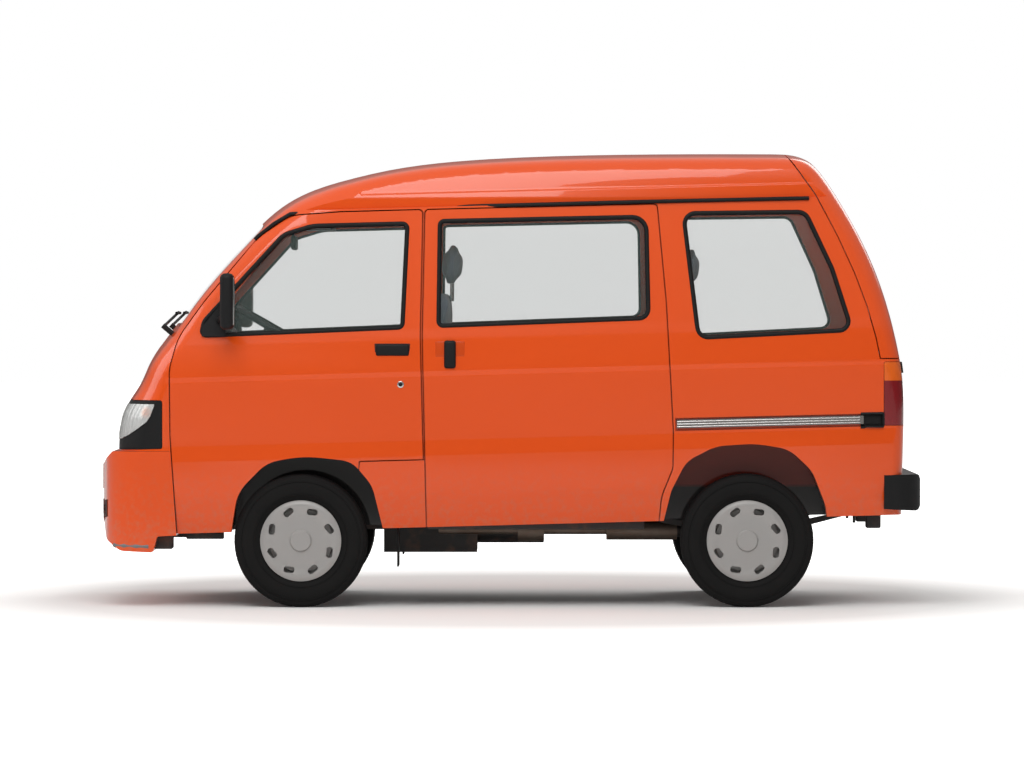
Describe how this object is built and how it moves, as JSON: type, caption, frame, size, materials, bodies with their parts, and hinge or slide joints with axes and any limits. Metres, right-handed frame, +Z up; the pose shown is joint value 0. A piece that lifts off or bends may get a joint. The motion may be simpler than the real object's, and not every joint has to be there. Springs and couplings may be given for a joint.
{
  "type": "glazed microvan",
  "caption": "Small cab-over van with a raised roof, windowed sides, hinged front doors, sliding side doors, a top-hinged tailgate and steered wheels.",
  "frame": {"origin": "on the ground, under the middle of the van's length and width", "axes": "+X forward, +Y to the van's left, +Z up"},
  "size_m": [3.3967, 1.73, 1.8724],
  "materials": {
    "paint": "gloss",
    "under_paint": "satin",
    "glass": "clear",
    "lamp_clear": "clear",
    "lamp_red": "gloss",
    "rail_metal": "satin",
    "black_plastic": "grained",
    "dash_grey": "grained",
    "seat_cloth": "woven",
    "chassis_black": "satin",
    "exhaust_steel": "dull",
    "engine_iron": "dull",
    "wheel_silver": "satin silver",
    "tyre": "rubber"
  },
  "bodies": {
    "van_body": {"left_side_panel": "paint", "right_side_panel": "paint", "rear_lower_panel": "paint", "tail_lights": "lamp_red", "slide_rails": "rail_metal", "front_panel": "paint", "headlights": "lamp_clear", "windscreen": "glass", "roof": "paint", "left_sliding_door": "paint", "right_sliding_door": "paint", "side_glass": "glass", "front_bumper": "paint", "rear_bumper": "black_plastic", "floor_pan": "under_paint", "wheel_housings": "under_paint", "front_seats": "seat_cloth", "rear_seat": "seat_cloth", "dashboard": "dash_grey", "chassis_frame": "chassis_black", "leaf_springs": "chassis_black", "exhaust": "exhaust_steel", "front_suspension": "chassis_black", "wipers": "black_plastic", "engine": "engine_iron", "propshaft": "chassis_black", "rear_axle": "chassis_black"},
    "left_front_door": {"left_front_door": "paint", "left_front_door_glass": "glass", "left_mirror": "black_plastic"},
    "right_front_door": {"right_front_door": "paint", "right_front_door_glass": "glass", "right_mirror": "black_plastic"},
    "tailgate": {"tailgate": "paint", "tailgate_glass": "glass"},
    "steering_wheel": {"steering_wheel": "black_plastic"},
    "left_knuckle": {"left_knuckle": "chassis_black"},
    "right_knuckle": {"right_knuckle": "chassis_black"},
    "front_left_wheel": {"front_left_wheel": "wheel_silver", "front_left_tyre": "tyre"},
    "front_right_wheel": {"front_right_wheel": "wheel_silver", "front_right_tyre": "tyre"},
    "rear_left_wheel": {"rear_left_wheel": "wheel_silver", "rear_left_tyre": "tyre"},
    "rear_right_wheel": {"rear_right_wheel": "wheel_silver", "rear_right_tyre": "tyre"}
  },
  "joints": [
    {"name": "left_steer", "type": "hinge", "parent": "van_body", "child": "left_knuckle", "pos_m": [0.85, 0.56, 0.273], "axis": [0, 0, 1], "range_deg": [-33, 33]},
    {"name": "front_left_spin", "type": "hinge", "parent": "left_knuckle", "child": "front_left_wheel", "pos_m": [0.85, 0.602, 0.273], "axis": [0, 1, 0], "continuous": true},
    {"name": "rear_left_spin", "type": "hinge", "parent": "van_body", "child": "rear_left_wheel", "pos_m": [-0.98, 0.602, 0.273], "axis": [0, 1, 0], "continuous": true},
    {"name": "left_door_hinge", "type": "hinge", "parent": "van_body", "child": "left_front_door", "pos_m": [1.383, 0.697, 0.8], "axis": [0, 0, -1], "range_deg": [0, 65]},
    {"name": "right_steer", "type": "hinge", "parent": "van_body", "child": "right_knuckle", "pos_m": [0.85, -0.56, 0.273], "axis": [0, 0, 1], "range_deg": [-33, 33]},
    {"name": "front_right_spin", "type": "hinge", "parent": "right_knuckle", "child": "front_right_wheel", "pos_m": [0.85, -0.602, 0.273], "axis": [0, 1, 0], "continuous": true},
    {"name": "rear_right_spin", "type": "hinge", "parent": "van_body", "child": "rear_right_wheel", "pos_m": [-0.98, -0.602, 0.273], "axis": [0, 1, 0], "continuous": true},
    {"name": "right_door_hinge", "type": "hinge", "parent": "van_body", "child": "right_front_door", "pos_m": [1.383, -0.697, 0.8], "axis": [0, 0, 1], "range_deg": [0, 65]},
    {"name": "tailgate_hinge", "type": "hinge", "parent": "van_body", "child": "tailgate", "pos_m": [-1.152, 0, 1.872], "axis": [0, 1, 0], "range_deg": [0, 80]},
    {"name": "steering_wheel_turn", "type": "hinge", "parent": "van_body", "child": "steering_wheel", "pos_m": [0.968, 0.33, 1.138], "axis": [-0.5, 0, 0.866], "range_deg": [-500, 500]}
  ],
  "couplings": [
    {"joint": "right_steer", "follows": "left_steer", "ratio": 1},
    {"joint": "steering_wheel_turn", "follows": "left_steer", "ratio": 15}
  ]
}
